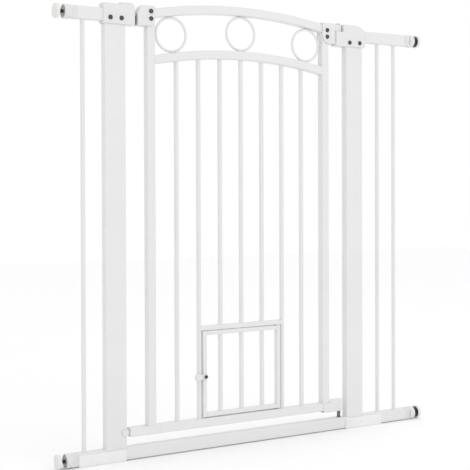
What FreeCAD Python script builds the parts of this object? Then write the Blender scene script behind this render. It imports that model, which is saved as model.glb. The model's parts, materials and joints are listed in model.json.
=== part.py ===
"""Extra-tall pressure-mounted pet gate with an arched walk-through door and a barred cat door.

X runs along the gate, Y through it (the front faces -Y) and Z up, in millimetres.
While it is drawn, X is measured from the middle of the door. Every piece is then moved by
frame_shift, so that the finished part's origin is on the floor in the middle of its width.
"""
import FreeCAD, Part
import math
import os

from FreeCAD import Vector

# Door
door_half = 248.0
stile = 20.0
bar_pitch = 57.0
bar_radius = 5.5
bar_wall = 1.0
panel_bar_radius = 5.0
door_rail_bottom = 51.0
door_rail_top = door_rail_bottom + stile
arch_tall = 20.0
upper_arch_top = 1024.0
upper_arch_radius = 1216.0
lower_arch_top = 921.3
lower_arch_radius = 1160.0
ring_rod_radius = 3.0
ring_offset = 184.0

# Posts, rails and side panels
post_gap = 53.0
post_wide = 50.0
tube_deep = 20.0
tube_wall = 1.5
tube_corner = 2.0
rail_tall = 28.0
rail_lift = 2.0
rail_low_top = rail_lift + rail_tall
rail_high_bottom = 966.0
sleeve_left = -415.0
sleeve_right = 297.0
sleeve_long = 112.0
sleeve_tall = 26.0
sleeve_wall = 2.0
rail_high_top = rail_high_bottom + rail_tall
post_top = 990.0
left_bar_x = -399.0
right_bar_x = (405.0, 458.0)
left_rail_end = -414.0
right_rail_end = 488.0

# Wall adjusters
plug_collar = 16.0
wheel_gap = 0.5
wheel_thick = 13.0
adjuster_radius = 16.0
foot_reach = 33.0
foot_plate = 3.0
foot_depth = 8.0
foot_wall = 2.5
rod_radius = 4.0
rod_length = 90.0
flange_radius = 12.0
flange_thick = 1.5
thread_clearance = 0.06

# Plastic fittings that wrap the tubes
hardware_half = 13.0
play = 0.3

# Hinge line
hinge_x = 283.0
pin_radius = 3.2
pin_clearance = 0.05
bush_radius = 6.0
bush_long = 15.0
collar_radius = 4.2
collar_top = 46.0
arm_half = 8.0
arm_bottom = 988.0
hinge_top = 1006.0
lug_top = 987.2
lug_radius = 17.7
bracket_roof = 1003.0

# Latch
latch_left = -355.0
latch_right = -278.0
latch_bottom = 961.0
latch_top = 1005.0
shell_wall = 2.5
bolt_tip = -273.5
bolt_half = 4.0
bolt_bottom = 964.0
bolt_top = 984.0
bolt_travel = 12.0
slot_clearance = 0.4

# Screws
screw_head_radius = 5.2
screw_head_tall = 3.0
screw_radius = 2.5
socket_flats = 4.0
socket_depth = 2.0

# Cat door
cat_half = 106.0
cat_frame = 10.0
cat_deep = 12.0
cat_bottom = 73.0
cat_top = 272.0
cat_pivot_x = 93.0
cat_pin_radius = 2.5
lintel_bottom = 274.0
lintel_top = 284.0
cat_latch_z = 167.0
cat_latch_x = -101.0
cat_knob_x = -120.0
cat_knob_radius = 9.0

post_inner = door_half + post_gap
post_outer = post_inner + post_wide
foot_left = left_rail_end - plug_collar - foot_reach
foot_right = right_rail_end + plug_collar + foot_reach
frame_shift = -(foot_left + foot_right) / 2.0
rail_low_centre = rail_lift + rail_tall / 2.0
rail_high_centre = rail_high_bottom + rail_tall / 2.0
bar_x = [bar_pitch * step for step in (-3, -2, -1, 0, 1, 2, 3)]

AXIS_X = Vector(1, 0, 0)
AXIS_Y = Vector(0, 1, 0)
AXIS_Z = Vector(0, 0, 1)

parts = {}


def box(x0, x1, y0, y1, z0, z1):
    """A block between two corners."""
    return Part.makeBox(x1 - x0, y1 - y0, z1 - z0, Vector(x0, y0, z0))


def rounded(solid, radius, direction):
    """Round the straight edges that run along one axis."""
    edges = []
    for edge in solid.Edges:
        ends = edge.Vertexes
        if len(ends) != 2:
            continue
        run = (ends[1].Point - ends[0].Point).normalize()
        if abs(run.dot(direction)) > 0.999:
            edges.append(edge)
    return solid.makeFillet(radius, edges)


def tube(x0, x1, y0, y1, z0, z1, direction, wall=tube_wall, corner=tube_corner):
    """A square or flat tube with rounded corners, open at both ends of its run."""
    outer = rounded(box(x0, x1, y0, y1, z0, z1), corner, direction)
    grow = Vector(wall, wall, wall)
    reach = direction * (2.0 * wall)
    low = Vector(x0, y0, z0) + grow - reach
    high = Vector(x1, y1, z1) - grow + reach
    inner = box(low.x, high.x, low.y, high.y, low.z, high.z)
    return outer.cut(rounded(inner, max(corner - wall, 0.4), direction))


def along_x(radius, x0, x1, z, y=0.0):
    """A round solid along X."""
    return Part.makeCylinder(radius, abs(x1 - x0), Vector(min(x0, x1), y, z), AXIS_X)


def along_y(radius, x, y0, y1, z):
    """A round solid along Y."""
    return Part.makeCylinder(radius, abs(y1 - y0), Vector(x, min(y0, y1), z), AXIS_Y)


def along_z(radius, x, z0, z1):
    """A round solid along Z, in the middle of the gate's depth."""
    return Part.makeCylinder(radius, abs(z1 - z0), Vector(x, 0, min(z0, z1)), AXIS_Z)


def round_bar(x, z0, z1, radius=bar_radius):
    """An upright round tube."""
    return along_z(radius, x, z0, z1).cut(along_z(radius - bar_wall, x, z0, z1))


def slab_disc(radius, top, half_depth):
    """A disc on a Y axis whose highest point is at the given height."""
    return along_y(radius, 0.0, -half_depth, half_depth, top - radius)


def arch_tube(top, radius, half_span):
    """A square tube bent to an arc over the door, its ends cut upright."""
    half = tube_deep / 2.0
    centre = top - radius
    shell = slab_disc(radius, top, half).cut(slab_disc(radius - arch_tall, top - arch_tall, half))
    hollow = slab_disc(radius - tube_wall, top - tube_wall, half - tube_wall)
    hollow = hollow.cut(slab_disc(radius - arch_tall + tube_wall, top - arch_tall + tube_wall, half))
    span = box(-half_span, half_span, -half, half, centre + radius / 2.0, top + 1.0)
    outer = shell.common(span)
    curved = []
    for edge in outer.Edges:
        if edge.Curve.TypeId == "Part::GeomCircle":
            curved.append(edge)
    outer = outer.makeFillet(tube_corner, curved)
    return outer.cut(hollow)


def under_arch(top, radius):
    """Everything below the underside of an arch, used to trim what meets it."""
    return slab_disc(radius - arch_tall, top - arch_tall, 40.0)


def profile(points, y0, y1):
    """A plate cut to an outline of X and Z points, from one depth to another."""
    corners = [Vector(x, y0, z) for x, z in points]
    face = Part.Face(Part.makePolygon(corners + corners[:1]))
    return face.extrude(Vector(0, y1 - y0, 0))


def group(solids):
    """Identical pieces kept together in one node."""
    return Part.makeCompound(solids)


def button_screw(x, z, face_y, depth):
    """A button-head socket screw driven in from the front, and the hole that it needs."""
    head_y = face_y - screw_head_tall
    head = along_y(screw_head_radius, x, head_y, face_y, z)
    rim = [edge for edge in head.Edges if abs(edge.BoundBox.YMax - head_y) < 1e-6]
    head = head.makeFillet(screw_head_tall * 0.75, rim)
    shank = along_y(screw_radius, x, face_y, face_y + depth, z)
    reach = socket_flats / 2.0 / math.cos(math.radians(30.0))
    corners = []
    for step in range(7):
        turn = math.radians(60.0 * step)
        corners.append(Vector(x + reach * math.cos(turn), head_y, z + reach * math.sin(turn)))
    socket = Part.Face(Part.makePolygon(corners)).extrude(Vector(0, socket_depth, 0))
    return head.fuse(shank).removeSplitter().cut(socket), shank


def drive_screws(node, places, face_y, depth, through):
    """Put screws at X and Z places and drill the pieces that they pass through."""
    screws = []
    for x, z in places:
        screw, hole = button_screw(x, z, face_y, depth)
        screws.append(screw)
        for name in through:
            parts[name] = parts[name].cut(hole)
    parts.setdefault(node, [])
    parts[node] += screws


# ---- Frame: threshold, posts, rails and panel bars ----
half = tube_deep / 2.0
threshold = tube(-post_outer, post_outer, -half, half, rail_lift, rail_low_top, AXIS_X)
parts["threshold_tube"] = threshold.cut(along_z(bush_radius, hinge_x, rail_low_top - 5.0, rail_low_top + 5.0))

for side, name in ((-1, "left_post"), (1, "right_post")):
    edges = sorted((side * post_inner, side * post_outer))
    parts[name] = tube(edges[0], edges[1], -half, half, rail_low_top, post_top, AXIS_Z)

rail_runs = {
    "left": (left_rail_end, -post_outer),
    "right": (post_outer, right_rail_end),
}
for side, (start, end) in rail_runs.items():
    parts[side + "_top_rail"] = tube(start, end, -half, half, rail_high_bottom, rail_high_top, AXIS_X)
    parts[side + "_bottom_rail"] = tube(start, end, -half, half, rail_lift, rail_low_top, AXIS_X)

panel_bars = {
    "left_panel_bar": left_bar_x,
    "right_inner_bar": right_bar_x[0],
    "right_outer_bar": right_bar_x[1],
}
for name, x in panel_bars.items():
    parts[name] = round_bar(x, rail_low_top, rail_high_bottom, panel_bar_radius)

# Open-topped sleeves that hold the ends of the threshold and stand on the floor
for name, start in (("left_base_sleeve", sleeve_left), ("right_base_sleeve", sleeve_right)):
    end = start + sleeve_long
    outer = rounded(box(start, end, -half - sleeve_wall, half + sleeve_wall, 0.0, sleeve_tall), 1.5, AXIS_X)
    inner = box(start - 1.0, end + 1.0, -half, half, rail_lift, sleeve_tall + 1.0)
    parts[name] = outer.cut(inner)


# ---- Wall adjusters: plug, thumb wheel, threaded rod and foot at each corner ----
def end_plug(end, side, z):
    """A ribbed collar the size of the tube, with a tail inside it and a bore for the rod."""
    tail = 20.0
    tail_play = 0.2
    rib_depth = 0.8
    rib_wide = 1.6
    rib_pitch = 3.7
    tall = rail_tall / 2.0
    low, high = sorted((end, end + side * plug_collar))
    plug = rounded(box(low, high, -half, half, z - tall, z + tall), tube_corner, AXIS_X)
    for step in range(4):
        middle = end + side * rib_pitch * step
        groove = box(middle - rib_wide / 2.0, middle + rib_wide / 2.0, -half - 1, half + 1, z - 20, z + 20)
        core = box(
            middle - rib_wide, middle + rib_wide,
            -half + rib_depth, half - rib_depth,
            z - tall + rib_depth, z + tall - rib_depth,
        )
        plug = plug.cut(groove.cut(core))
    inset = tube_wall + tail_play
    low, high = sorted((end, end - side * tail))
    plug = plug.fuse(box(low, high, -half + inset, half - inset, z - tall + inset, z + tall - inset))
    return plug.cut(along_x(rod_radius + thread_clearance, end - 2.0 * tail, end + 2.0 * tail, z))


def thumb_wheel(end, side, z):
    """A knurled wheel threaded on the rod, with a round recess in the face towards the wall."""
    near = end + side * (plug_collar + wheel_gap)
    far = near + side * wheel_thick
    wheel = along_x(adjuster_radius, near, far, z)
    notches = 20
    notch_radius = 1.5
    notch_ring = adjuster_radius + 0.6
    for step in range(notches):
        turn = math.radians(360.0 * step / notches)
        wheel = wheel.cut(
            along_x(notch_radius, near, far, z + notch_ring * math.sin(turn), notch_ring * math.cos(turn))
        )
    rim_wide = 3.0
    recess_depth = 2.0
    recess = along_x(adjuster_radius - rim_wide, far - side * recess_depth, far, z)
    return wheel.cut(recess).cut(along_x(rod_radius + thread_clearance, near, far, z))


def threaded_rod(wall_x, side, z):
    """The steel rod with the flange that turns in the foot."""
    seat = wall_x - side * foot_plate
    rod = along_x(rod_radius, seat - side * rod_length, seat, z)
    flange = along_x(flange_radius, seat - side * flange_thick, seat, z)
    return rod.fuse(flange).removeSplitter()


def wall_foot(wall_x, side, z):
    """A round cup whose flat face presses on the wall."""
    cup = along_x(adjuster_radius, wall_x - side * foot_depth, wall_x, z)
    rim = []
    for edge in cup.Edges:
        flat = edge.BoundBox
        if flat.XLength < 1e-6 and abs(flat.XMin - wall_x) < 1e-6:
            rim.append(edge)
    mouth = wall_x - side * (foot_depth + 1.0)
    hollow = along_x(adjuster_radius - foot_wall, mouth, wall_x - side * foot_plate, z)
    return cup.makeFillet(1.0, rim).cut(hollow)


plugs = []
corners = (
    ("top_left", left_rail_end, -1, rail_high_centre),
    ("bottom_left", left_rail_end, -1, rail_low_centre),
    ("top_right", right_rail_end, 1, rail_high_centre),
    ("bottom_right", right_rail_end, 1, rail_low_centre),
)
for corner, end, side, z in corners:
    wall_x = end + side * (plug_collar + foot_reach)
    plugs.append(end_plug(end, side, z))
    parts["thumb_wheel_" + corner] = thumb_wheel(end, side, z)
    parts["threaded_rod_" + corner] = threaded_rod(wall_x, side, z)
    parts["wall_foot_" + corner] = wall_foot(wall_x, side, z)
parts["end_plugs"] = group(plugs)

# ---- Latch on the left post ----
housing = box(latch_left, latch_right, -hardware_half, hardware_half, latch_bottom, latch_top)
housing = rounded(housing, 3.0, AXIS_Z)
brow = 5.0
corner_room = box(
    latch_right - brow, latch_right + 1.0, -hardware_half - 1.0, hardware_half + 1.0,
    latch_top - brow, latch_top + 1.0,
)
brow_round = along_y(brow, latch_right - brow, -hardware_half - 2.0, hardware_half + 2.0, latch_top - brow)
housing = housing.cut(corner_room.cut(brow_round))
inner = box(
    latch_left + shell_wall, latch_right - shell_wall,
    -hardware_half + shell_wall, hardware_half - shell_wall,
    latch_bottom + shell_wall, latch_top - shell_wall,
)
post_way = box(
    -post_outer - play, -post_inner + play, -half - play, half + play, latch_bottom - 1.0, post_top + play
)
rail_way = box(
    latch_left - 1.0, -post_outer, -half - play, half + play, rail_high_bottom - play, rail_high_top + play
)
bolt_way = box(
    latch_right - 5.0, latch_right + 1.0,
    -bolt_half - slot_clearance, bolt_half + slot_clearance,
    bolt_bottom - slot_clearance, bolt_top + slot_clearance,
)
bolt_back = -299.0
stem_left = bolt_back
stem_right = bolt_back + 6.0
stem_half = 3.0
stem_way = box(
    stem_left - slot_clearance, stem_right + bolt_travel + slot_clearance,
    -stem_half - slot_clearance, stem_half + slot_clearance,
    latch_top - 5.0, latch_top + 1.0,
)
parts["latch_housing"] = housing.cut(inner).cut(post_way).cut(rail_way).cut(bolt_way).cut(stem_way)

latch_bolt = box(bolt_back, bolt_tip, -bolt_half, bolt_half, bolt_bottom, bolt_top)
tip_edges = []
for edge in latch_bolt.Edges:
    flat = edge.BoundBox
    if flat.XLength < 1e-6 and abs(flat.XMax - bolt_tip) < 1e-6:
        tip_edges.append(edge)
parts["latch_bolt"] = latch_bolt.makeChamfer(0.8, tip_edges)

thumb_left = -311.0
thumb_right = -281.0
thumb_half = 8.0
thumb_lift = 0.4
thumb_top = 1009.5
thumb = box(thumb_left, thumb_right, -thumb_half, thumb_half, latch_top + thumb_lift, thumb_top)
thumb = rounded(thumb, 2.5, AXIS_Z)
groove_radius = 0.9
groove_pitch = 4.0
for step in range(-2, 3):
    groove_x = (thumb_left + thumb_right) / 2.0 + groove_pitch * step
    thumb = thumb.cut(along_y(groove_radius, groove_x, -thumb_half, thumb_half, thumb_top + 0.2))
stem = box(stem_left, stem_right, -stem_half, stem_half, bolt_top, latch_top + thumb_lift + 1.0)
parts["thumb_slide"] = thumb.fuse(stem).removeSplitter()

# ---- Upper hinge housing on the right post ----
shoulder = 326.0
housing_end = 358.0
housing_low = 952.0
pocket_wall = hinge_x + arm_half + 0.8
outline = [
    (pocket_wall, housing_low),
    (housing_end, housing_low),
    (housing_end, 992.0),
    (352.0, 997.0),
    (343.0, 1001.8),
    (335.0, 1004.6),
    (shoulder, hinge_top),
    (pocket_wall, hinge_top),
]
housing = profile(outline, -hardware_half, hardware_half)
lug_block = box(hinge_x - lug_radius, pocket_wall + 5.0, -hardware_half, hardware_half, housing_low, lug_top)
lug_round = along_z(lug_radius, hinge_x, housing_low, lug_top)
lug = lug_block.common(lug_round.fuse(box(hinge_x, 320.0, -30, 30, housing_low, lug_top)))
housing = housing.fuse(lug).removeSplitter()
post_way = box(
    post_inner - play, post_outer + play, -half - play, half + play, housing_low - 1.0, post_top + play
)
rail_way = box(
    post_outer, housing_end + 1.0, -half - play, half + play, rail_high_bottom - play, rail_high_top + play
)
pin_way = along_z(pin_radius + pin_clearance, hinge_x, housing_low + 6.0, hinge_top)
parts["hinge_housing"] = housing.cut(post_way).cut(rail_way).cut(pin_way)

housing_screw_depth = 8.0
drive_screws(
    "housing_screws", ((-338.0, 974.0), (-311.5, 974.0)), -hardware_half, housing_screw_depth,
    ("latch_housing", "left_post"),
)
drive_screws(
    "housing_screws", ((310.0, 962.0), (341.0, 962.5)), -hardware_half, housing_screw_depth,
    ("hinge_housing", "right_post"),
)

# Bush that the lower hinge pin turns in, set in the top wall of the threshold, with a collar up to the door
collar = along_z(collar_radius, hinge_x, rail_low_top, collar_top)
bush = along_z(bush_radius, hinge_x, rail_low_top - bush_long, rail_low_top).fuse(collar).removeSplitter()
bush_floor = 3.0
parts["hinge_socket"] = bush.cut(
    along_z(pin_radius + pin_clearance, hinge_x, rail_low_top - bush_long + bush_floor, collar_top + 1.0)
)

# Bumper that clips round the left post beside the tip of the door's bottom rail
catch = rounded(box(-313.0, -298.0, -hardware_half, hardware_half, 56.0, 70.0), 3.5, AXIS_Y)
parts["bottom_catch"] = catch.cut(box(-330.0, -post_inner, -half, half, 50.0, 75.0))

# ---- Door ----
trim = under_arch(upper_arch_top, upper_arch_radius)
for side, name in ((-1, "door_left_stile"), (1, "door_right_stile")):
    edges = sorted((side * (door_half - stile), side * door_half))
    parts[name] = tube(edges[0], edges[1], -half, half, door_rail_top, upper_arch_top, AXIS_Z).common(trim)
parts["upper_arch"] = arch_tube(upper_arch_top, upper_arch_radius, door_half)
parts["lower_arch"] = arch_tube(lower_arch_top, lower_arch_radius, door_half - stile)

rail_left = -253.0
rail_right = 252.0
parts["door_bottom_rail"] = tube(rail_left, rail_right, -half, half, door_rail_bottom, door_rail_top, AXIS_X)

bar_trim = under_arch(lower_arch_top, lower_arch_radius)
short_bars = []
for number, x in enumerate(bar_x, start=1):
    over_cat_door = abs(x) < 1.5 * bar_pitch
    start = lintel_top if over_cat_door else door_rail_top
    bar = round_bar(x, start, lower_arch_top).common(bar_trim)
    if over_cat_door:
        short_bars.append(bar)
    else:
        parts["door_bar_%d" % number] = bar
parts["short_door_bars"] = group(short_bars)

lintel_deep = cat_deep / 2.0
lintel = box(bar_x[1], bar_x[5], -lintel_deep, lintel_deep, lintel_bottom, lintel_top)
for x in (bar_x[1], bar_x[5]):
    lintel = lintel.cut(along_z(bar_radius, x, lintel_bottom - 1.0, lintel_top + 1.0))
parts["cat_door_lintel"] = max(lintel.Solids, key=lambda solid: solid.Volume)

# Rod rings as large as fit between the arches, welded to both
rings = []
upper_centre = upper_arch_top - upper_arch_radius
lower_centre = lower_arch_top - lower_arch_radius
for x in (-ring_offset, 0.0, ring_offset):
    ceiling = upper_centre + math.sqrt((upper_arch_radius - arch_tall) ** 2 - x ** 2)
    floor = lower_centre + math.sqrt(lower_arch_radius ** 2 - x ** 2)
    ring_z = (ceiling + floor) / 2.0
    room = upper_arch_radius - arch_tall - math.hypot(x, ring_z - upper_centre)
    rings.append(Part.makeTorus(room - ring_rod_radius, ring_rod_radius, Vector(x, 0, ring_z), AXIS_Y))
parts["arch_rings"] = group(rings)

# Striker bracket that carries the pocket for the latch bolt
striker_left = -272.0
striker_right = -229.0
striker_top = 1007.0
striker_low = 962.0
striker_slope = 11.0
striker_shoulder = 990.0
pocket_depth = 14.0
striker = profile(
    [
        (striker_left, striker_low),
        (striker_right, striker_low),
        (striker_right, striker_top),
        (striker_left + striker_slope, striker_top),
        (striker_left, striker_shoulder),
    ],
    -hardware_half,
    hardware_half,
)
corner_edges = [
    edge for edge in striker.Edges
    if edge.BoundBox.XLength < 1e-6 and edge.BoundBox.ZLength < 1e-6
    and abs(edge.BoundBox.XMin - striker_right) < 1e-6 and abs(edge.BoundBox.ZMin - striker_low) < 1e-6
]
striker = striker.makeFillet(13.0, corner_edges)
arch_way = box(-door_half - play, -200.0, -half - play, half + play, striker_low - 10.0, bracket_roof)
pocket = box(
    striker_left - 1.0, striker_left + pocket_depth,
    -bolt_half - slot_clearance, bolt_half + slot_clearance,
    bolt_bottom - slot_clearance, bolt_top + slot_clearance,
)
parts["striker_bracket"] = striker.cut(arch_way).cut(pocket)

# Upper hinge bracket with the arm over the hinge pin
plate_left = 228.0
plate_right = 264.5
plate_low = 956.0
bracket = profile(
    [
        (plate_left, plate_low),
        (plate_right, plate_low),
        (plate_right, hinge_top),
        (plate_left, hinge_top),
    ],
    -hardware_half,
    hardware_half,
)
corner_edges = [
    edge for edge in bracket.Edges
    if edge.BoundBox.XLength < 1e-6 and edge.BoundBox.ZLength < 1e-6
    and abs(edge.BoundBox.XMin - plate_left) < 1e-6 and abs(edge.BoundBox.ZMin - plate_low) < 1e-6
]
bracket = bracket.makeFillet(18.0, corner_edges)
arch_way = box(200.0, door_half + play, -half - play, half + play, plate_low - 10.0, bracket_roof)
arm = box(plate_right - 5.0, hinge_x, -arm_half, arm_half, arm_bottom, hinge_top).fuse(
    along_z(arm_half, hinge_x, arm_bottom, hinge_top)
)
pin_hole = along_z(pin_radius, hinge_x, arm_bottom - 1.0, hinge_top + 1.0)
parts["hinge_bracket"] = bracket.cut(arch_way).fuse(arm).removeSplitter().cut(pin_hole)

pin_low = housing_low + 8.0
pin_head = along_z(5.5, hinge_x, hinge_top, hinge_top + 2.0)
pin_shank = along_z(pin_radius, hinge_x, pin_low, hinge_top)
parts["upper_hinge_pin"] = pin_head.fuse(pin_shank).removeSplitter()

# Lower hinge block on the end of the bottom rail, and its pin
block_left = 230.0
block_low = 47.0
block_top = 75.0
block_half = 11.2
block_right = 272.0
block = rounded(box(block_left, block_right, -block_half, block_half, block_low, block_top), 2.0, AXIS_X)
nose = box(block_right - 6.0, hinge_x, -arm_half, arm_half, block_low, block_top).fuse(
    along_z(arm_half, hinge_x, block_low, block_top)
)
rail_room = box(block_left - 1.0, rail_right, -half, half, door_rail_bottom, door_rail_top)
stile_room = box(
    block_left - 1.0, door_half, -block_half - 1.0, block_half + 1.0, door_rail_top, block_top + 1.0
)
hollow_wall = 1.4
hollow = box(
    block_left - 1.0, block_left + 20.0, -block_half + hollow_wall, block_half - hollow_wall,
    block_low + hollow_wall, door_rail_bottom,
)
lower_pin_low = rail_low_top - 11.0
lower_pin_top = block_low + 19.0
pin_room = along_z(pin_radius, hinge_x, block_low - 1.0, lower_pin_top)
block = block.fuse(nose).removeSplitter()
parts["lower_hinge_block"] = block.cut(rail_room).cut(stile_room).cut(hollow).cut(pin_room)
parts["lower_hinge_pin"] = along_z(pin_radius, hinge_x, lower_pin_low, lower_pin_top)

# Cap on the free end of the bottom rail
cap_end = -293.0
cap = rounded(box(cap_end, rail_left, -half, half, door_rail_bottom, door_rail_top), 2.0, AXIS_X)
nose_edges = []
for edge in cap.Edges:
    flat = edge.BoundBox
    if flat.XLength < 1e-6 and abs(flat.XMin - cap_end) < 1e-6:
        nose_edges.append(edge)
cap = cap.makeFillet(1.8, nose_edges)
cap_inset = tube_wall + 0.2
parts["door_end_cap"] = cap.fuse(box(
    rail_left - 1.0, rail_left + 18.0,
    -half + cap_inset, half - cap_inset,
    door_rail_bottom + cap_inset, door_rail_top - cap_inset,
))

door_screw_depth = 7.0
drive_screws(
    "door_screws", ((-239.5, 995.0), (-239.5, 978.5)), -hardware_half, door_screw_depth,
    ("striker_bracket", "upper_arch", "door_left_stile"),
)
drive_screws(
    "door_screws", ((241.5, 988.0), (241.5, 972.0)), -hardware_half, door_screw_depth,
    ("hinge_bracket", "upper_arch", "door_right_stile"),
)

# ---- Cat door ----
deep = cat_deep / 2.0
inner_half = cat_half - cat_frame
rails = {
    "cat_left_stile": (-cat_half, -inner_half, cat_bottom, cat_top, AXIS_Z),
    "cat_right_stile": (inner_half, cat_half, cat_bottom, cat_top, AXIS_Z),
    "cat_top_rail": (-inner_half, inner_half, cat_top - cat_frame, cat_top, AXIS_X),
    "cat_bottom_rail": (-inner_half, inner_half, cat_bottom, cat_bottom + cat_frame, AXIS_X),
}
cat_corner = 1.0
for name, (x0, x1, z0, z1, run) in rails.items():
    parts[name] = rounded(box(x0, x1, -deep, deep, z0, z1), cat_corner, run)

cat_bars = []
for x in bar_x[2:5]:
    cat_bars.append(round_bar(x, cat_bottom + cat_frame, cat_top - cat_frame))
parts["cat_door_bars"] = group(cat_bars)

# The two pivot pins are fixed in the cat door and turn in the lintel and the bottom rail
pin_bite = 6.0
pins = []
for low, high in ((cat_top, lintel_bottom), (door_rail_top, cat_bottom)):
    pins.append(along_z(cat_pin_radius, cat_pivot_x, low - pin_bite, high + pin_bite))
parts["cat_hinge_pins"] = group(pins)
for name in ("cat_top_rail", "cat_bottom_rail"):
    parts[name] = parts[name].cut(pins[0]).cut(pins[1])
running_hole = cat_pin_radius + pin_clearance
pin_floors = {"cat_door_lintel": lintel_bottom - 1.0, "door_bottom_rail": door_rail_top - pin_bite - 1.0}
for name, low in pin_floors.items():
    parts[name] = parts[name].cut(along_z(running_hole, cat_pivot_x, low, low + pin_bite + 2.0))

# Turn latch: a lobed knob on a bolt through the cat door's free stile
knob_back = -deep - 0.4
knob_front = -14.0
plate_front = -10.0
hub_radius = 6.0
hub = along_y(hub_radius, cat_latch_x, plate_front, knob_back, cat_latch_z)
knob = along_y(cat_knob_radius, cat_knob_x, knob_front, knob_back, cat_latch_z)
front_rim = [edge for edge in knob.Edges if abs(edge.BoundBox.YMax - knob_front) < 1e-6]
knob = knob.makeFillet(3.0, front_rim)
link_low = cat_latch_z - hub_radius
link_high = cat_latch_z + hub_radius
link = box(cat_knob_x, cat_latch_x, plate_front, knob_back, link_low, link_high)
bolt_radius = 2.0
bolt_head_radius = 4.0
head_front = plate_front - 2.5
nut_front = deep + 0.4
nut_back = nut_front + 3.0
bolt_hole = along_y(bolt_radius, cat_latch_x, plate_front, knob_back, cat_latch_z)
parts["cat_latch_knob"] = hub.fuse(link).fuse(knob).removeSplitter().cut(bolt_hole)
bolt_head = along_y(bolt_head_radius, cat_latch_x, head_front, plate_front, cat_latch_z)
bolt_nut = along_y(bolt_head_radius, cat_latch_x, nut_front, nut_back, cat_latch_z)
bolt_shank = along_y(bolt_radius, cat_latch_x, plate_front, nut_front, cat_latch_z)
parts["cat_latch_bolt"] = bolt_head.fuse(bolt_shank).fuse(bolt_nut).removeSplitter()
parts["cat_left_stile"] = parts["cat_left_stile"].cut(
    along_y(bolt_radius + pin_clearance, cat_latch_x, -half, half, cat_latch_z)
)

# ---- Write one STEP file for each node ----
os.makedirs("parts", exist_ok=True)
for name, shape in parts.items():
    if isinstance(shape, list):
        shape = group(shape)
    if shape.ShapeType == "Compound" and len(shape.Solids) == 1:
        shape = shape.Solids[0]
    shape = shape.translated(Vector(frame_shift, 0, 0))
    shape.exportStep("parts/" + name + ".step")
print("wrote", len(parts), "nodes, frame shift", frame_shift)
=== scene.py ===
import json
import math
import random

import bmesh
import bpy
from mathutils import Matrix, Vector


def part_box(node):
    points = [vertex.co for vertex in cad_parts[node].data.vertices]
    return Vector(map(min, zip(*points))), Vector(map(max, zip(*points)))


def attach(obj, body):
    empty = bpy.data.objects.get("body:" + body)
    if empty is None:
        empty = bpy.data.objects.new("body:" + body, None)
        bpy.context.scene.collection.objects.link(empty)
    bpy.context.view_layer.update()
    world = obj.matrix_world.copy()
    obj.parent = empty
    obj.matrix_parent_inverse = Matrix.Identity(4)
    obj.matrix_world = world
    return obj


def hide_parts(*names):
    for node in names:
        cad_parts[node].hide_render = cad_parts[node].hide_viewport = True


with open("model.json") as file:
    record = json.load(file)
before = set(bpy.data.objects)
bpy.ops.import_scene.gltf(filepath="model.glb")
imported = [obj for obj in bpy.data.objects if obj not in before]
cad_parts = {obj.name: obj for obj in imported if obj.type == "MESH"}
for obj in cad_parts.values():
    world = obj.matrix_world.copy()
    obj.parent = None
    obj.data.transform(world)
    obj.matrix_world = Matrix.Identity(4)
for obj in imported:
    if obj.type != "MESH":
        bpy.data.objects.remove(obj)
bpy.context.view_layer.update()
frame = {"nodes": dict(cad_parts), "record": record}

cadNodes = frame["nodes"]
scene = bpy.context.scene
mm = 0.001
alongY = Vector((0, 1, 0))
alongZ = Vector((0, 0, 1))
print("frame loaded:", len(cadNodes), "nodes")


# Materials

def startMaterial(name):
    material = bpy.data.materials.new(name)
    material.use_nodes = True
    tree = material.node_tree
    coords = tree.nodes.new("ShaderNodeTexCoord")
    return material, tree, tree.nodes["Principled BSDF"], coords.outputs["Object"]


def noise(tree, coords, scale, detail=3.0, roughness=0.5):
    node = tree.nodes.new("ShaderNodeTexNoise")
    node.inputs["Scale"].default_value = scale
    node.inputs["Detail"].default_value = detail
    node.inputs["Roughness"].default_value = roughness
    tree.links.new(coords, node.inputs["Vector"])
    return node.outputs["Fac"]


def spread(tree, value, low, high, toLow, toHigh):
    node = tree.nodes.new("ShaderNodeMapRange")
    for socket, number in (("From Min", low), ("From Max", high), ("To Min", toLow), ("To Max", toHigh)):
        node.inputs[socket].default_value = number
    tree.links.new(value, node.inputs["Value"])
    return node.outputs["Result"]


def mixColours(tree, factor, first, second):
    node = tree.nodes.new("ShaderNodeMix")
    node.data_type = "RGBA"
    tree.links.new(factor, node.inputs["Factor"])
    for socket, colour in ((node.inputs[6], first), (node.inputs[7], second)):  # the colour sockets A and B
        if isinstance(colour, tuple):
            socket.default_value = (*colour, 1.0)
        else:
            tree.links.new(colour, socket)
    return node.outputs[2]


def multiply(tree, first, second):
    node = tree.nodes.new("ShaderNodeMath")
    node.operation = "MULTIPLY"
    tree.links.new(first, node.inputs[0])
    tree.links.new(second, node.inputs[1])
    return node.outputs["Value"]


def stretched(tree, coords, scale):
    node = tree.nodes.new("ShaderNodeMapping")
    node.inputs["Scale"].default_value = scale
    tree.links.new(coords, node.inputs["Vector"])
    return node.outputs["Vector"]


def bump(tree, height, strength, depth, under=None):
    node = tree.nodes.new("ShaderNodeBump")
    node.inputs["Strength"].default_value = strength
    node.inputs["Distance"].default_value = depth
    tree.links.new(height, node.inputs["Height"])
    if under is not None:
        tree.links.new(under, node.inputs["Normal"])
    return node.outputs["Normal"]


coatSettings = {
    "peelScale": 620.0,     # orange peel, about 1.6 mm from crest to crest
    "peelStrength": 0.16,
    "peelDepth": 0.0004,
    "cloudScale": 7.0,      # slow drift of the coat's tone along a tube
    "fleckScale": 900.0,
    "fleckAmount": 0.35,
    "fleckTone": 0.86,
    "dustHeight": 0.07,     # how far up from the floor the handling marks reach, in metres
    "dustAmount": 0.14,
    "dustColour": (0.66, 0.65, 0.63),
    "gloss": 0.5,
}


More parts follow.
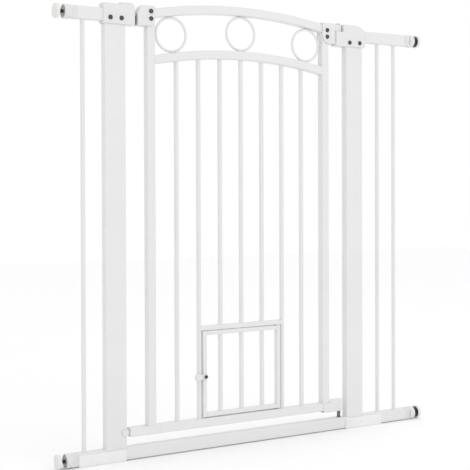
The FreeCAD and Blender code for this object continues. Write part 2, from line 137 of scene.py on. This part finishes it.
def powderCoat(name, light, shade, roughLow, roughHigh):
    material, tree, shader, coords = startMaterial(name)
    cloud = noise(tree, coords, coatSettings["cloudScale"], 4.0)
    film = mixColours(tree, spread(tree, cloud, 0.3, 0.7, 0.0, 1.0), light, shade)
    flecks = noise(tree, coords, coatSettings["fleckScale"], 1.0)
    fleck = spread(tree, flecks, 0.70, 0.78, 0.0, coatSettings["fleckAmount"])
    film = mixColours(tree, fleck, film, tuple(coatSettings["fleckTone"] * channel for channel in shade))
    split = tree.nodes.new("ShaderNodeSeparateXYZ")
    tree.links.new(coords, split.inputs["Vector"])
    low = spread(tree, split.outputs["Z"], 0.0, coatSettings["dustHeight"], coatSettings["dustAmount"], 0.0)
    patch = spread(tree, noise(tree, coords, 55.0, 5.0, 0.65), 0.48, 0.72, 0.0, 1.0)
    film = mixColours(tree, multiply(tree, low, patch), film, coatSettings["dustColour"])
    tree.links.new(film, shader.inputs["Base Color"])
    rough = spread(tree, noise(tree, coords, 38.0, 4.0), 0.3, 0.7, roughLow, roughHigh)
    tree.links.new(rough, shader.inputs["Roughness"])
    grain = noise(tree, coords, coatSettings["peelScale"], 2.0)
    peel = bump(tree, grain, coatSettings["peelStrength"], coatSettings["peelDepth"])
    tree.links.new(bump(tree, cloud, 0.05, 0.0006, peel), shader.inputs["Normal"])
    shader.inputs["Specular IOR Level"].default_value = coatSettings["gloss"]
    return material


plasticSettings = {
    "cloudScale": 22.0,
    "roughScale": 130.0,
    "sparkStrength": 0.12,  # the fine texture of an eroded mould
    "sparkDepth": 0.00025,
    "gloss": 0.45,
}


def mouldedPlastic(name, light, shade, grain, roughLow, roughHigh):
    material, tree, shader, coords = startMaterial(name)
    cloud = noise(tree, coords, plasticSettings["cloudScale"], 3.0)
    tree.links.new(mixColours(tree, cloud, light, shade), shader.inputs["Base Color"])
    patches = noise(tree, coords, plasticSettings["roughScale"], 3.0)
    rough = spread(tree, patches, 0.3, 0.7, roughLow, roughHigh)
    tree.links.new(rough, shader.inputs["Roughness"])
    erosion = noise(tree, coords, grain, 2.0)
    spark = bump(tree, erosion, plasticSettings["sparkStrength"], plasticSettings["sparkDepth"])
    tree.links.new(bump(tree, cloud, 0.06, 0.0004, spark), shader.inputs["Normal"])
    shader.inputs["Specular IOR Level"].default_value = plasticSettings["gloss"]
    return material


steelSettings = {
    "streaks": (2600.0, 160.0, 160.0),  # tool marks run round the gate's long axis
    "stainScale": 240.0,
    "glint": 1.5,
    "markDepth": 0.0001,
}


def turnedSteel(name, light, shade, metallic, roughLow, roughHigh):
    material, tree, shader, coords = startMaterial(name)
    streaks = noise(tree, stretched(tree, coords, steelSettings["streaks"]), 1.0, 3.0)
    stain = spread(tree, noise(tree, coords, steelSettings["stainScale"], 4.0, 0.6), 0.35, 0.7, 0.0, 1.0)
    tone = mixColours(tree, stain, light, shade)
    glint = tuple(steelSettings["glint"] * channel for channel in light)
    tone = mixColours(tree, spread(tree, streaks, 0.55, 0.8, 0.0, 0.4), tone, glint)
    tree.links.new(tone, shader.inputs["Base Color"])
    tree.links.new(spread(tree, streaks, 0.3, 0.7, roughLow, roughHigh), shader.inputs["Roughness"])
    tree.links.new(bump(tree, streaks, 0.10, steelSettings["markDepth"]), shader.inputs["Normal"])
    shader.inputs["Metallic"].default_value = metallic
    return material


def grey(level):
    return (level, level, level)


finishes = {
    "white_powder_coat": powderCoat("whitePowderCoat", grey(0.755), grey(0.73), 0.34, 0.46),
    "sleeve_white": powderCoat("sleevePowderCoat", grey(0.82), grey(0.795), 0.38, 0.50),
    "white_plastic": mouldedPlastic("whiteMoulding", grey(0.745), grey(0.72), 1500.0, 0.42, 0.56),
    "warm_white_plastic": mouldedPlastic(
        "warmMoulding", (0.775, 0.775, 0.757), (0.75, 0.75, 0.732), 1300.0, 0.45, 0.60
    ),
    "dark_steel": turnedSteel("blackedSteel", (0.075, 0.075, 0.077), (0.045, 0.045, 0.047), 0.5, 0.34, 0.52),
    "steel_pin": turnedSteel("darkZincSteel", (0.10, 0.10, 0.102), (0.055, 0.055, 0.06), 0.75, 0.32, 0.50),
    "grey_bush": mouldedPlastic("greyBushing", (0.16, 0.16, 0.165), (0.11, 0.11, 0.115), 1700.0, 0.45, 0.6),
}
# grey of the wheel inserts: partly the steel's own colour, partly painted shade of the recessed wheel face
insertSteelAndShade = turnedSteel("insertSteelAndShade", (0.52, 0.52, 0.51), (0.41, 0.41, 0.405), 0.30, 0.42, 0.60)
socketSteel = turnedSteel("socketSteel", (0.23, 0.23, 0.235), (0.15, 0.15, 0.155), 0.35, 0.40, 0.58)

for part in frame["record"]["subparts"]:
    cadObject = cadNodes[part["node"]]
    cadObject.data.materials.clear()
    cadObject.data.materials.append(finishes[part["material_slot"]])
slotOf = {part["node"]: part["material_slot"] for part in frame["record"]["subparts"]}
bodyOf = {node: body for body, members in frame["record"]["behaviour"]["bodies"].items() for node in members}
print("materials assigned:", len(finishes) + 2)


# Mesh helpers

def finishPiece(name, bm, materials, body, replaced=(), sharp=35.0):
    bmesh.ops.recalc_face_normals(bm, faces=bm.faces)
    mesh = bpy.data.meshes.new(name)
    bm.to_mesh(mesh)
    bm.free()
    for material in materials:
        mesh.materials.append(material)
    mesh.shade_smooth()
    mesh.set_sharp_from_angle(angle=math.radians(sharp))
    piece = bpy.data.objects.new(name, mesh)
    scene.collection.objects.link(piece)
    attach(piece, body)
    if replaced:
        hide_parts(*replaced)


def facing(direction):
    return alongZ.rotation_difference(Vector(direction)).to_matrix().to_4x4()


def lathe(bm, outline, centre, direction, steps=64, closed=True):
    # outline is a list of (distance along the axis, radius); it is spun about that axis
    before = set(bm.verts)
    ring = [bm.verts.new((radius, 0.0, height)) for height, radius in outline]
    edges = [bm.edges.new(pair) for pair in zip(ring, ring[1:])]
    if closed:
        edges.append(bm.edges.new((ring[-1], ring[0])))
    bmesh.ops.spin(
        bm, geom=ring + edges, cent=(0, 0, 0), axis=alongZ, dvec=(0, 0, 0),
        angle=2.0 * math.pi, steps=steps, use_merge=True,
    )
    made = [vert for vert in bm.verts if vert not in before]
    bmesh.ops.remove_doubles(bm, verts=made, dist=1e-7)
    made = [vert for vert in bm.verts if vert not in before]
    place = Matrix.Translation(Vector(centre)) @ facing(direction)
    bmesh.ops.transform(bm, matrix=place, verts=made)
    return made


def roughen(verts, amount, seed):
    shaker = random.Random(seed)
    for vert in verts:
        vert.co += Vector([shaker.uniform(-amount, amount) for _ in range(3)])


def solidBoxes(node):
    # the box of each separate solid in a CAD node
    bm = bmesh.new()
    bm.from_mesh(cadNodes[node].data)
    bmesh.ops.remove_doubles(bm, verts=bm.verts, dist=1e-6)
    left = set(bm.verts)
    boxes = []
    while left:
        queue = [left.pop()]
        island = []
        while queue:
            vert = queue.pop()
            island.append(vert.co.copy())
            for edge in vert.link_edges:
                other = edge.other_vert(vert)
                if other in left:
                    left.remove(other)
                    queue.append(other)
        low = Vector([min(point[axis] for point in island) for axis in range(3)])
        high = Vector([max(point[axis] for point in island) for axis in range(3)])
        boxes.append((low, high))
    bm.free()
    return sorted(boxes, key=lambda corners: (round(corners[0].x, 5), round(corners[0].z, 5)))


# Fittings: the CAD shape with its edges rounded, by the radius in millimetres

fittings = {
    "latch_housing": 1.0,
    "hinge_housing": 0.9,
    "striker_bracket": 0.9,
    "hinge_bracket": 0.9,
    "lower_hinge_block": 0.7,
    "bottom_catch": 0.7,
    "door_end_cap": 0.5,
    "thumb_slide": 0.5,
    "cat_latch_knob": 0.8,
    "latch_bolt": 0.4,
    "end_plugs": 0.25,
    "left_base_sleeve": 0.5,
    "right_base_sleeve": 0.5,
    "upper_hinge_pin": 0.4,
    "lower_hinge_pin": 0.3,
    "cat_hinge_pins": 0.3,
    "hinge_socket": 0.3,
    "cat_latch_bolt": 0.4,
}
edgeSettings = {"segments": 3, "sharpest": 38.0, "flat": 0.6, "smooth": 50.0}


def softened(node, radius):
    bm = bmesh.new()
    bm.from_mesh(cadNodes[node].data)
    bmesh.ops.remove_doubles(bm, verts=bm.verts, dist=1e-6)
    flat = math.radians(edgeSettings["flat"])
    bmesh.ops.dissolve_limit(bm, angle_limit=flat, verts=bm.verts, edges=bm.edges)
    limit = math.radians(edgeSettings["sharpest"])
    edges = [edge for edge in bm.edges if len(edge.link_faces) == 2 and edge.calc_face_angle() > limit]
    bmesh.ops.bevel(
        bm, geom=edges, offset=radius * mm, offset_type="OFFSET", segments=edgeSettings["segments"],
        profile=0.5, affect="EDGES", material=-1, clamp_overlap=True,
    )
    finishPiece(
        node + "_moulding", bm, [finishes[slotOf[node]]], bodyOf[node], (node,),
        edgeSettings["smooth"],
    )


for node, radius in fittings.items():
    softened(node, radius)
print("fittings moulded:", len(fittings))


# Wall adjusters: knurled wheel with a steel insert whose grey is partly painted shade of its recess, threaded
# rod, ribbed foot

wheelSettings = {
    "flutes": 20, "fluteDepth": 0.9, "edge": 0.9, "rim": 3.0, "lip": 0.4, "recess": 2.0, "bore": 4.3,
}
insertSettings = {"thick": 0.8, "hubRadius": 7.0, "hubThick": 0.9}
threadSettings = {"radius": 4.0, "pitch": 1.25, "depth": 0.55, "steps": 20}
flangeSettings = {"thick": 1.5, "edge": 0.3, "bossWide": 5.2, "bossTop": 4.4, "bossTall": 1.0}
footSettings = {
    "edge": 1.2, "plate": 3.0, "wall": 2.5, "rimEdge": 0.5, "innerEdge": 0.4,
    "grooves": (5.0, 8.5, 12.0), "grooveDeep": 0.5, "grooveTop": 0.9, "grooveFloor": 0.4,
}
corners = ("top_left", "bottom_left", "top_right", "bottom_right")


def adjusterPlace(node):
    # centre of the face away from the wall, direction to the wall, length and radius
    low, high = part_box(node)
    side = -1.0 if high.x < 0 else 1.0
    near = high.x if side < 0 else low.x
    centre = Vector((near, (low.y + high.y) / 2.0, (low.z + high.z) / 2.0))
    return centre, Vector((side, 0, 0)), high.x - low.x, (high.z - low.z) / 2.0


def thumbWheel(corner):
    node = "thumb_wheel_" + corner
    centre, outward, thick, radius = adjusterPlace(node)
    edge = wheelSettings["edge"] * mm
    rim = radius - wheelSettings["rim"] * mm
    floor = thick - wheelSettings["recess"] * mm
    bore = wheelSettings["bore"] * mm
    lip = wheelSettings["lip"] * mm
    outline = [
        (0.0, bore), (0.0, radius - edge), (0.3 * edge, radius - 0.3 * edge), (edge, radius),
        (thick - edge, radius), (thick - 0.3 * edge, radius - 0.3 * edge), (thick, radius - edge),
        (thick, rim + lip), (thick - lip, rim), (floor, rim), (floor, bore),
    ]
    bm = bmesh.new()
    steps = 4 * wheelSettings["flutes"]
    made = lathe(bm, outline, (0, 0, 0), alongZ, steps)
    for vert in made:
        reach = math.hypot(vert.co.x, vert.co.y)
        turn = round(math.atan2(vert.co.y, vert.co.x) / (2.0 * math.pi) * steps)
        if reach > radius - 0.5 * edge and turn % 4 in (0, 1):
            shrink = (radius - wheelSettings["fluteDepth"] * mm) / radius
            vert.co.x *= shrink
            vert.co.y *= shrink
    place = Matrix.Translation(centre) @ facing(outward)
    bmesh.ops.transform(bm, matrix=place, verts=bm.verts)
    slotName = slotOf[node]
    finishPiece("knurled_wheel_" + corner, bm, [finishes[slotName]], bodyOf[node], (node,), 28.0)

    # grey insert filling the whole recessed face: steel, and also painted shade for the recess
    top = floor + insertSettings["thick"] * mm
    hub = insertSettings["hubRadius"] * mm
    hubTop = top + insertSettings["hubThick"] * mm
    outline = [
        (floor, bore), (floor, rim - 0.1 * mm), (top, rim - 0.1 * mm), (top, hub + 0.4 * mm),
        (hubTop - 0.2 * mm, hub), (hubTop, hub - 0.3 * mm), (hubTop, bore),
    ]
    bm = bmesh.new()
    lathe(bm, outline, centre, outward, 48)
    finishPiece("wheel_insert_and_shade_" + corner, bm, [insertSteelAndShade], bodyOf[node])


def threadedRod(corner):
    node = "threaded_rod_" + corner
    low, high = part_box(node)
    side = -1.0 if high.x < 0 else 1.0
    centreZ = (low.z + high.z) / 2.0
    seat = low.x if side < 0 else high.x
    flangeRadius = (high.z - low.z) / 2.0
    length = high.x - low.x
    radius = threadSettings["radius"] * mm
    root = radius - threadSettings["depth"] * mm
    pitch = threadSettings["pitch"] * mm
    turns = int(length / pitch) - 2
    steps = threadSettings["steps"]
    bm = bmesh.new()
    crest = [(0.0, root), (0.44, radius), (0.56, radius), (1.0, root)]
    ring = [bm.verts.new((reach, 0.0, share * pitch)) for share, reach in crest]
    edges = [bm.edges.new(pair) for pair in zip(ring, ring[1:])]
    bmesh.ops.spin(
        bm, geom=ring + edges, cent=(0, 0, 0), axis=alongZ, dvec=(0, 0, pitch / steps),
        angle=2.0 * math.pi * turns, steps=steps * turns,
    )
    bmesh.ops.remove_doubles(bm, verts=bm.verts, dist=2e-6)
    bmesh.ops.holes_fill(bm, edges=[edge for edge in bm.edges if edge.is_boundary], sides=0)
    start = Vector((seat - side * length, 0.0, centreZ))
    place = Matrix.Translation(start) @ facing(Vector((side, 0, 0)))
    bmesh.ops.transform(bm, matrix=place, verts=bm.verts)
    flange = flangeSettings["thick"] * mm
    edge = flangeSettings["edge"] * mm
    bossEnd = flange + flangeSettings["bossTall"] * mm
    outline = [
        (0.0, 0.0), (0.0, flangeRadius - edge), (edge, flangeRadius), (flange - edge, flangeRadius),
        (flange, flangeRadius - edge), (flange, flangeSettings["bossWide"] * mm),
        (bossEnd, flangeSettings["bossTop"] * mm), (bossEnd, 0.0),
    ]
    lathe(bm, outline, (seat, 0.0, centreZ), Vector((-side, 0, 0)), 48, closed=False)
    slotName = slotOf[node]
    finishPiece("rod_thread_" + corner, bm, [finishes[slotName]], bodyOf[node], (node,), 30.0)


def wallFoot(corner):
    node = "wall_foot_" + corner
    low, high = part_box(node)
    side = -1.0 if high.x < 0 else 1.0
    wall = low.x if side < 0 else high.x
    depth = high.x - low.x
    radius = (high.z - low.z) / 2.0
    edge = footSettings["edge"] * mm
    inner = radius - footSettings["wall"] * mm
    plate = footSettings["plate"] * mm
    deep = footSettings["grooveDeep"] * mm
    grooveTop = footSettings["grooveTop"] * mm
    grooveFloor = footSettings["grooveFloor"] * mm
    rimEdge = footSettings["rimEdge"] * mm
    innerEdge = footSettings["innerEdge"] * mm
    outline = [(0.0, 0.0)]
    for groove in footSettings["grooves"]:
        middle = groove * mm
        outline += [(0.0, middle - grooveTop), (deep, middle - grooveFloor), (deep, middle + grooveFloor)]
        outline.append((0.0, middle + grooveTop))
    outline += [
        (0.0, radius - edge), (0.3 * edge, radius - 0.3 * edge), (edge, radius), (depth - rimEdge, radius),
        (depth, radius - rimEdge), (depth, inner + innerEdge), (depth - innerEdge, inner),
        (plate, inner), (plate, 0.0),
    ]
    bm = bmesh.new()
    lathe(bm, outline, (wall, 0.0, (low.z + high.z) / 2.0), Vector((-side, 0, 0)), 64, closed=False)
    slotName = slotOf[node]
    finishPiece("foot_cup_" + corner, bm, [finishes[slotName]], bodyOf[node], (node,), 30.0)


for corner in corners:
    thumbWheel(corner)
    threadedRod(corner)
    wallFoot(corner)
print("wall adjusters built:", len(corners))


# Button-head socket screws

screwSettings = {
    "crown": 3.0, "socket": 2.35, "socketDeep": 1.8, "socketSunk": 0.25, "lip": 3.1,
    "dome": ((0.0, 1.0), (0.6, 1.0), (1.3, 0.95), (2.1, 0.83), (2.7, 0.71)),  # height, share of the radius
}


def buttonScrews(node):
    bm = bmesh.new()
    for low, high in solidBoxes(node):
        radius = (high.x - low.x) / 2.0
        tall = screwSettings["crown"] * mm
        lip = screwSettings["lip"] * mm
        socket = screwSettings["socket"] * mm
        centre = Vector(((low.x + high.x) / 2.0, low.y + tall, (low.z + high.z) / 2.0))
        outline = [(height * mm, share * radius) for height, share in screwSettings["dome"]]
        outline.append((tall, lip))
        crown = lathe(bm, outline, (0, 0, 0), alongZ, 48, closed=False)
        edges = {edge for vert in crown for edge in vert.link_edges if edge.is_boundary}
        rim = [edge for edge in edges if all(vert.co.z > tall - 1e-6 for vert in edge.verts)]
        base = [edge for edge in edges if all(vert.co.z < 1e-6 for vert in edge.verts)]
        bmesh.ops.holes_fill(bm, edges=base, sides=0)
        hexagon = bmesh.ops.create_circle(bm, cap_ends=False, segments=6, radius=socket)["verts"]
        bmesh.ops.translate(bm, verts=hexagon, vec=(0, 0, tall - screwSettings["socketSunk"] * mm))
        hexEdges = list({edge for vert in hexagon for edge in vert.link_edges})
        bmesh.ops.bridge_loops(bm, edges=rim + hexEdges)
        wall = bmesh.ops.extrude_edge_only(bm, edges=hexEdges)["geom"]
        bottom = [item for item in wall if isinstance(item, bmesh.types.BMVert)]
        bmesh.ops.translate(bm, verts=bottom, vec=(0, 0, -screwSettings["socketDeep"] * mm))
        bottomEdges = [
            item for item in wall
            if isinstance(item, bmesh.types.BMEdge) and all(vert in bottom for vert in item.verts)
        ]
        bmesh.ops.holes_fill(bm, edges=bottomEdges, sides=0)
        for vert in bottom:
            for face in vert.link_faces:
                face.material_index = 1
        screw = crown + hexagon + bottom
        place = Matrix.Translation(centre) @ facing(-alongY)
        bmesh.ops.transform(bm, matrix=place, verts=screw)
    slotName = slotOf[node]
    finishPiece(node + "_heads", bm, [finishes[slotName], socketSteel], bodyOf[node], (node,), 30.0)


buttonScrews("housing_screws")
buttonScrews("door_screws")
print("screws built")


# Weld beads where the tubes meet

beadSettings = {
    "wide": 1.7, "narrow": 0.5, "tall": 1.5, "uneven": 0.10,
    "seam": 1.1, "ripple": 2.2, "seamSunk": 0.5,
    "postMargin": 2.0, "stileMargin": 1.5, "railSeamStart": 25.0, "archSeamTall": 19.0,
    "tack": (4.2, 2.6, 1.5), "tackSunk": 1.0,
}
archTubeTall = 20.0


def archUnderside(node):
    # middle, centre height and radius of an arch's underside
    low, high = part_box(node)
    tall = archTubeTall * mm
    half = (high.x - low.x) / 2.0
    rise = (high.z - tall) - low.z
    radius = (half * half + rise * rise) / (2.0 * rise)
    middle = (low.x + high.x) / 2.0
    return middle, high.z - tall - radius, radius


def barBead(bm, x, z, radius, leg, up, lean, seed):
    # a fillet round the end of a bar; up is +1 where the bar rises from it
    foot = leg * mm
    tall = beadSettings["tall"] * mm * min(1.0, leg)
    outline = [
        (0.0, radius - 0.2 * mm), (0.0, radius + foot), (0.35 * tall, radius + 0.72 * foot),
        (0.7 * tall, radius + 0.3 * foot), (tall, radius + 0.02 * mm), (tall, radius - 0.2 * mm),
    ]
    made = lathe(bm, outline, (0, 0, 0), (0, 0, up), 28)
    roughen(made, beadSettings["uneven"] * mm, seed)
    place = Matrix.Translation((x, 0.0, z)) @ Matrix.Rotation(lean, 4, "Y")
    bmesh.ops.transform(bm, matrix=place, verts=made)


def seamBead(bm, start, end, seed):
    start = Vector(start)
    run = Vector(end) - start
    radius = beadSettings["seam"] * mm
    count = max(3, int(run.length / (beadSettings["ripple"] * mm)))
    outline = [(0.0, 0.0), (0.0, 0.6 * radius)]
    outline += [(run.length * step / count, radius) for step in range(1, count)]
    outline += [(run.length, 0.6 * radius), (run.length, 0.0)]
    made = lathe(bm, outline, (0, 0, 0), alongZ, 10, closed=False)
    roughen(made, 1.4 * beadSettings["uneven"] * mm, seed)
    place = Matrix.Translation(start) @ facing(run.normalized())
    bmesh.ops.transform(bm, matrix=place, verts=made)


def boxSeams(bm, x0, x1, z, half, seed):
    for side in (-1, 1):
        seamBead(bm, (x0, side * half, z), (x1, side * half, z), seed + side)


def frameWelds():
    bm = bmesh.new()
    wide = beadSettings["wide"]
    sunk = beadSettings["seamSunk"] * mm
    for number, node in enumerate(("left_panel_bar", "right_inner_bar", "right_outer_bar")):
        low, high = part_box(node)
        x = (low.x + high.x) / 2.0
        radius = (high.x - low.x) / 2.0
        barBead(bm, x, low.z, radius, wide, 1, 0.0, 10 + number)
        barBead(bm, x, high.z, radius, wide, -1, 0.0, 20 + number)
    for number, node in enumerate(("left_post", "right_post")):
        low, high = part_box(node)
        margin = beadSettings["postMargin"] * mm
        boxSeams(bm, low.x + margin, high.x - margin, low.z, high.y - sunk, 30 + 4 * number)
    for number, side in enumerate(("left", "right")):
        low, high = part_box(side + "_bottom_rail")
        seam = high.x if side == "left" else low.x
        for depth in (-1, 1):
            y = depth * (high.y - sunk)
            start = low.z + beadSettings["railSeamStart"] * mm
            seamBead(bm, (seam, y, start), (seam, y, high.z - sunk), 50 + 3 * number + depth)
    finishPiece("frame_welds", bm, [finishes["white_powder_coat"]], "frame")


def doorWelds():
    bm = bmesh.new()
    wide = beadSettings["wide"]
    middle, centreZ, underRadius = archUnderside("lower_arch")
    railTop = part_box("door_bottom_rail")[1].z
    bars = []
    for node in ("door_bar_1", "door_bar_2", "door_bar_6", "door_bar_7", "short_door_bars"):
        bars += solidBoxes(node)
    for number, (low, high) in enumerate(bars):
        x = (low.x + high.x) / 2.0
        radius = (high.x - low.x) / 2.0
        onRail = low.z < railTop + 1.0 * mm
        barBead(bm, x, low.z, radius, wide if onRail else beadSettings["narrow"], 1, 0.0, 100 + number)
        away = x - middle
        topZ = centreZ + math.sqrt(underRadius ** 2 - away ** 2)
        barBead(bm, x, topZ, radius, wide, -1, math.asin(away / underRadius), 120 + number)
    upperMiddle, upperCentreZ, _ = archUnderside("upper_arch")
    for number, node in enumerate(("door_left_stile", "door_right_stile")):
        low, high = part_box(node)
        half = high.y - beadSettings["seamSunk"] * mm
        margin = beadSettings["stileMargin"] * mm
        boxSeams(bm, low.x + margin, high.x - margin, low.z, half, 140 + 4 * number)
        inner = high.x if node == "door_left_stile" else low.x
        away = inner - middle
        under = centreZ + math.sqrt(underRadius ** 2 - away ** 2)
        for depth in (-1, 1):
            y = depth * half
            top = under + beadSettings["archSeamTall"] * mm
            seamBead(bm, (inner, y, under), (inner, y, top), 160 + 3 * number + depth)
    for number, (low, high) in enumerate(solidBoxes("arch_rings")):
        ringX = (low.x + high.x) / 2.0
        ringZ = (low.z + high.z) / 2.0
        reach = (high.x - low.x) / 2.0
        away = Vector((ringX - upperMiddle, 0.0, ringZ - upperCentreZ)).normalized()
        for sign in (-1, 1):
            spot = Vector((ringX, 0.0, ringZ)) + away * sign * (reach - beadSettings["tackSunk"] * mm)
            tack = bmesh.ops.create_icosphere(bm, subdivisions=3, radius=1.0)["verts"]
            bmesh.ops.scale(bm, vec=[size * mm for size in beadSettings["tack"]], verts=tack)
            roughen(tack, beadSettings["uneven"] * mm, 180 + 2 * number + sign)
            bmesh.ops.transform(bm, matrix=Matrix.Translation(spot) @ facing(away), verts=tack)
    finishPiece("door_welds", bm, [finishes["white_powder_coat"]], "door")


def catDoorWelds():
    bm = bmesh.new()
    for number, (low, high) in enumerate(solidBoxes("cat_door_bars")):
        x = (low.x + high.x) / 2.0
        radius = (high.x - low.x) / 2.0
        barBead(bm, x, low.z, radius, beadSettings["narrow"], 1, 0.0, 200 + number)
        barBead(bm, x, high.z, radius, beadSettings["narrow"], -1, 0.0, 210 + number)
    finishPiece("cat_door_welds", bm, [finishes["white_powder_coat"]], "cat_door")


frameWelds()
doorWelds()
catDoorWelds()
print("weld beads laid")


# Grip ribs on the right sleeve

ribSettings = {"count": 4, "first": 4.0, "pitch": 3.6, "wide": 1.0, "proud": 0.45, "margin": 4.0, "edge": 0.3}


def sleeveRibs():
    low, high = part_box("right_base_sleeve")
    bm = bmesh.new()
    for step in range(ribSettings["count"]):
        x = low.x + (ribSettings["first"] + ribSettings["pitch"] * step) * mm
        for side in (-1, 1):
            face = high.y * side
            rib = bmesh.ops.create_cube(bm, size=1.0)["verts"]
            tall = high.z - low.z - 2.0 * ribSettings["margin"] * mm
            size = (ribSettings["wide"] * mm, 2.0 * ribSettings["proud"] * mm, tall)
            bmesh.ops.scale(bm, vec=size, verts=rib)
            bmesh.ops.translate(bm, vec=(x, face, (low.z + high.z) / 2.0), verts=rib)
    bmesh.ops.bevel(
        bm, geom=list(bm.edges), offset=ribSettings["edge"] * mm, segments=3, profile=0.5,
        affect="EDGES", material=-1,
    )
    finishPiece("sleeve_grip_ribs", bm, [finishes["sleeve_white"]], "frame")


sleeveRibs()
print("sleeve ribs built")


# Dark block inside the hollow end of the lower hinge block: painted shade, a dark steel-coloured piece
# standing in for the shadow in the hollow

hollowShadeSettings = {"recess": 1.0, "length": 14.0, "sideGap": 1.6, "low": 1.6, "high": 3.9, "edge": 0.4}


def hollowShadeBlock():
    low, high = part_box("lower_hinge_block")
    bm = bmesh.new()
    painted_shade = bmesh.ops.create_cube(bm, size=1.0)["verts"]
    tall = (hollowShadeSettings["high"] - hollowShadeSettings["low"]) * mm
    wide = high.y - low.y - 2.0 * hollowShadeSettings["sideGap"] * mm
    bmesh.ops.scale(bm, vec=(hollowShadeSettings["length"] * mm, wide, tall), verts=painted_shade)
    x = low.x + (hollowShadeSettings["recess"] + hollowShadeSettings["length"] / 2.0) * mm
    bmesh.ops.translate(bm, vec=(x, 0.0, low.z + hollowShadeSettings["low"] * mm + tall / 2.0), verts=painted_shade)
    bmesh.ops.bevel(
        bm, geom=list(bm.edges), offset=hollowShadeSettings["edge"] * mm, segments=3, profile=0.5,
        affect="EDGES", material=-1,
    )
    # the dark steel finish on this block is painted shade for the inside of the hollow
    finishPiece("hinge_block_painted_shade", bm, [finishes["dark_steel"]], "door")


hollowShadeBlock()
print("hinge block clamp built")


# Floor, light and camera

studio = {
    "floorHalf": 6.0,
    "floorColour": (0.985, 0.985, 0.985),
    "sky": 1.0,
    "key": {"at": (1.2, -2.8, 2.6), "size": 2.6, "power": 15.0},
    "fill": {"at": (-3.0, -1.6, 1.8), "size": 2.8, "power": 0.5},
}
cameraSettings = {
    "at": (-1.336, -2.147, 0.600),
    "pitch": 89.38,
    "yaw": -30.86,
    "roll": 0.17,
    "lens": 81.7,
    "shiftY": -0.0743,
}


def studioFloor():
    material, tree, shader, coords = startMaterial("studioFloor")
    shade = tuple(0.985 * channel for channel in studio["floorColour"])
    tone = mixColours(tree, noise(tree, coords, 2.2, 3.0), studio["floorColour"], shade)
    tree.links.new(tone, shader.inputs["Base Color"])
    tree.links.new(spread(tree, noise(tree, coords, 30.0), 0.3, 0.7, 0.75, 0.9), shader.inputs["Roughness"])
    bm = bmesh.new()
    bmesh.ops.create_grid(bm, x_segments=8, y_segments=8, size=studio["floorHalf"])
    mesh = bpy.data.meshes.new("studio_floor")
    bm.to_mesh(mesh)
    bm.free()
    mesh.materials.append(material)
    floor = bpy.data.objects.new("studio_floor", mesh)
    scene.collection.objects.link(floor)


def softLight(name, settings):
    lamp = bpy.data.lights.new(name, "AREA")
    lamp.shape = "SQUARE"
    lamp.size = settings["size"]
    lamp.energy = settings["power"]
    light = bpy.data.objects.new(name, lamp)
    light.location = settings["at"]
    aim = Vector((0.0, 0.0, 0.5)) - light.location
    light.rotation_euler = aim.to_track_quat("-Z", "Y").to_euler()
    scene.collection.objects.link(light)


def studioCamera():
    lens = bpy.data.cameras.new("studioCamera")
    lens.sensor_width = 36.0
    lens.lens = cameraSettings["lens"]
    lens.shift_y = cameraSettings["shiftY"]
    lens.dof.use_dof = False
    camera = bpy.data.objects.new("studioCamera", lens)
    camera.location = cameraSettings["at"]
    angles = (cameraSettings["pitch"], cameraSettings["roll"], cameraSettings["yaw"])
    camera.rotation_euler = [math.radians(angle) for angle in angles]
    scene.collection.objects.link(camera)
    scene.camera = camera


studioFloor()
softLight("keyLight", studio["key"])
softLight("fillLight", studio["fill"])
studioCamera()
world = bpy.data.worlds.new("studioWorld")
world.use_nodes = True
world.node_tree.nodes["Background"].inputs["Color"].default_value = (1.0, 1.0, 1.0, 1.0)
world.node_tree.nodes["Background"].inputs["Strength"].default_value = studio["sky"]
scene.world = world
scene.view_settings.view_transform = "Standard"
print("studio set")
